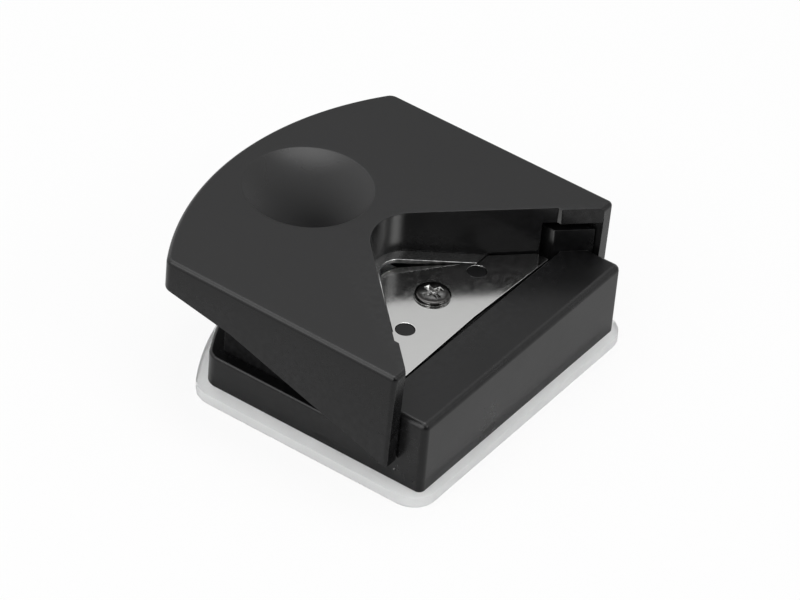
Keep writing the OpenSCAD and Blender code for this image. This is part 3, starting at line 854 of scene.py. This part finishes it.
def makeWorld(look):
    world = bpy.data.worlds.new("softStudio")
    scene.world = world
    world.use_nodes = True
    tree = world.node_tree
    fill = tree.nodes["Background"]
    feedAll(tree, fill, {"Color": look["white"], "Strength": look["fill"]})
    way = addNode(tree, "ShaderNodeTexCoord").outputs["Generated"]
    parts = addNode(tree, "ShaderNodeSeparateXYZ")
    feed(tree, parts.inputs[0], way)
    front = alongWay(tree, way, look["front"])
    sweep = mathNode(tree, "POWER", rangeNode(tree, parts.outputs["Z"], *look["sweep"]), look["sweepPower"])
    sweep = mathNode(tree, "MULTIPLY", sweep, rangeNode(tree, front, *look["frontDim"]))
    left = rangeNode(tree, alongWay(tree, way, look["left"]), *look["leftGlow"])
    across = rangeNode(tree, alongWay(tree, way, look["across"]), *look["acrossGlow"])
    across = mathNode(tree, "MULTIPLY", across, rangeNode(tree, front, *look["acrossFar"]))
    right = rangeNode(tree, alongWay(tree, way, look["right"]), *look["rightGlow"])
    right = mathNode(tree, "MULTIPLY", right, rangeNode(tree, parts.outputs["Z"], *look["rightLow"]))
    for glow in (left, across, right):
        sweep = mathNode(tree, "ADD", sweep, glow)
    path = addNode(tree, "ShaderNodeLightPath")
    strength = mathNode(tree, "MAXIMUM", sweep, path.outputs["Is Camera Ray"])
    white = addNode(tree, "ShaderNodeBackground")
    feedAll(tree, white, {"Color": look["white"], "Strength": strength})
    mixShaders(tree, seesBackground(tree), fill, white, "World Output")


studioLights = {
    "topBox": {"place": (0.05, 0.033, 0.93), "size": (1.1, 0.8), "power": 3.4},
    "coreBox": {"place": (0.19, 0.12, 0.78), "size": (0.3, 0.3), "power": 0.95},
    "frontBox": {"place": (0.06, -0.88, 0.66), "size": (0.34, 0.34), "power": 1.6},
    "rightBox": {"place": (0.53, -0.68, 0.55), "size": (0.15, 0.15), "power": 0.22},
    "sideBox": {"place": (-0.8, -0.1, 0.62), "size": (0.45, 0.45), "power": 1.9},
    "rearBox": {"place": (-0.72, 0.44, 0.62), "size": (0.5, 0.5), "power": 1.5},
}
lightAim = Vector((0, 0, 12 * mm))


# an object whose -Z looks along a direction, as a lamp or a camera does
def hang(name, data, place, ahead, roll=0.0):
    holder = bpy.data.objects.new(name, data)
    holder.location = place
    turn = Vector(ahead).to_track_quat("-Z", "Y") @ Quaternion((0, 0, 1), radians(roll))
    holder.rotation_euler = turn.to_euler()
    scene.collection.objects.link(holder)
    return holder


def makeLights():
    for name, setting in studioLights.items():
        lamp = bpy.data.lights.new(name, "AREA")
        lamp.shape = "RECTANGLE"
        lamp.size, lamp.size_y = setting["size"]
        lamp.energy = setting["power"]
        hang(name, lamp, setting["place"], lightAim - Vector(setting["place"]))


# long lens from the front left, tipped a little as the picture is
viewpoint = {
    "place": (-0.46128, -0.30184, 0.43823), "ahead": (0.66415, 0.42861, -0.61253),
    "lens": 181.7, "sensor": 36, "clip": 0.01, "roll": 4.94,
}


def makeCamera():
    camera = bpy.data.cameras.new("studioCamera")
    camera.lens = viewpoint["lens"]
    camera.sensor_width = viewpoint["sensor"]
    camera.clip_start = viewpoint["clip"]
    place, ahead = viewpoint["place"], viewpoint["ahead"]
    scene.camera = hang("studioCamera", camera, place, ahead, viewpoint["roll"])


makeFloor(floorLook)
makeWorld(skyLook)
makeLights()
makeCamera()
scene.view_settings.view_transform = "Standard"
print("stage, lights and camera set")
